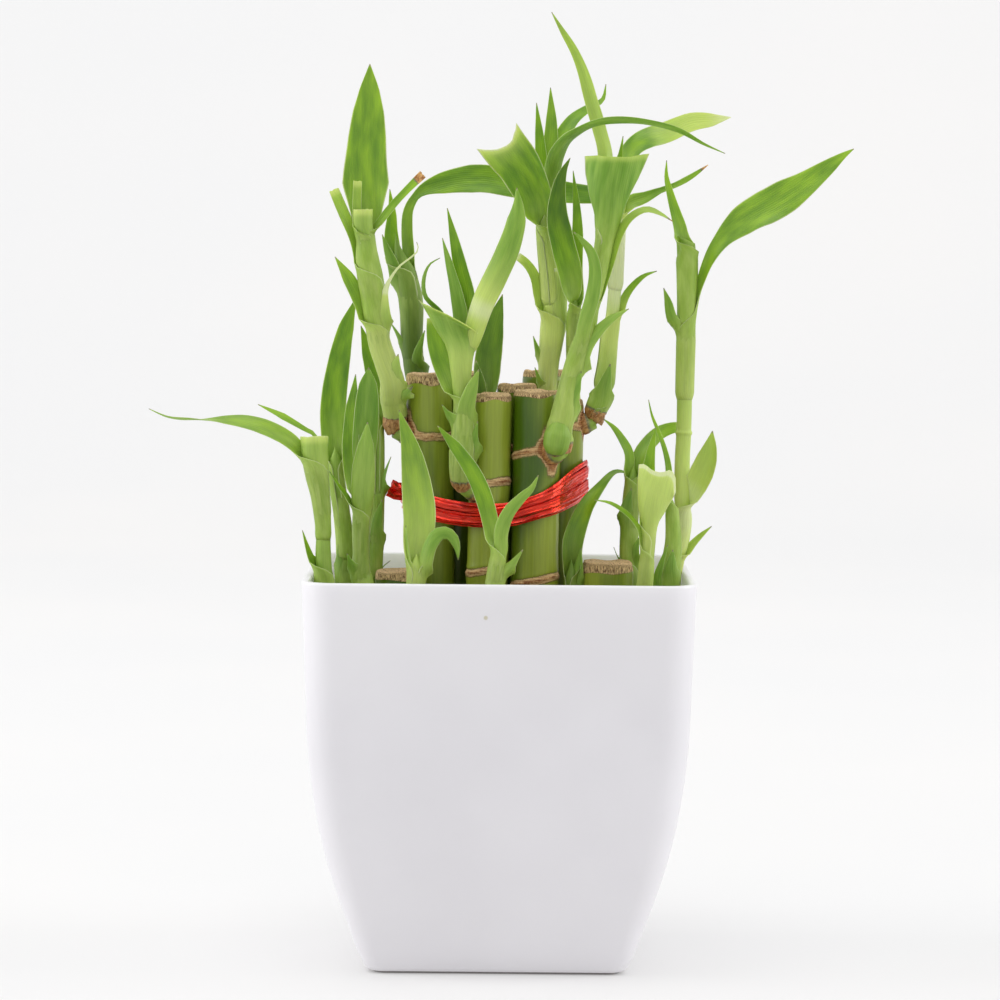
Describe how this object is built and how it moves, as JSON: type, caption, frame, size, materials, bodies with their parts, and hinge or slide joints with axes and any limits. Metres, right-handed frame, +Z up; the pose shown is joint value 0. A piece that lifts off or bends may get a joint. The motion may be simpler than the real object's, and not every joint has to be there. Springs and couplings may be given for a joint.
{
  "type": "lucky bamboo in a pot",
  "caption": "Potted lucky bamboo: a tall tied bundle of cut canes inside a ring of shorter ones, with sheathed leafy shoots, in a square white plastic pot.",
  "frame": {"origin": "middle of the pot's flat base", "axes": "+Z up, -Y towards the picture's viewer, +X to the right in the picture"},
  "size_m": [0.181, 0.0996, 0.2461],
  "materials": {
    "pot": "smooth satin white",
    "gravel": "small dry pebbles",
    "cane": "waxy green bark with brown node rings and dried cut ends",
    "shoot": "satin leaf, green above and greyer below",
    "tie": "shiny red foil"
  },
  "bodies": {
    "root": {"pot": "pot", "gravel": "gravel", "inner_cane_1": "cane", "inner_cane_2": "cane", "inner_cane_3": "cane", "inner_cane_4": "cane", "inner_cane_5": "cane", "inner_cane_6": "cane", "inner_cane_7": "cane", "inner_cane_8": "cane", "outer_cane_1": "cane", "outer_cane_2": "cane", "outer_cane_3": "cane", "outer_cane_4": "cane", "outer_cane_5": "cane", "outer_cane_6": "cane", "outer_cane_7": "cane", "outer_cane_8": "cane", "outer_cane_9": "cane", "outer_cane_10": "cane", "outer_cane_11": "cane", "outer_cane_12": "cane", "tie": "tie", "shoot_left_1": "shoot", "shoot_left_2": "shoot", "shoot_left_3": "shoot", "shoot_left_4": "shoot", "shoot_inner_1": "shoot", "shoot_inner_2": "shoot", "shoot_inner_3": "shoot", "shoot_inner_4": "shoot", "shoot_inner_5": "shoot", "shoot_inner_6": "shoot", "shoot_inner_7": "shoot", "shoot_inner_8": "shoot", "shoot_front_1": "shoot", "shoot_front_2": "shoot", "shoot_front_3": "shoot", "shoot_right_1": "shoot", "shoot_right_2": "shoot", "shoot_right_3": "shoot", "shoot_right_4": "shoot", "shoot_back_1": "shoot", "shoot_back_2": "shoot", "shoot_back_3": "shoot", "shoot_back_4": "shoot"}
  },
  "joints": []
}
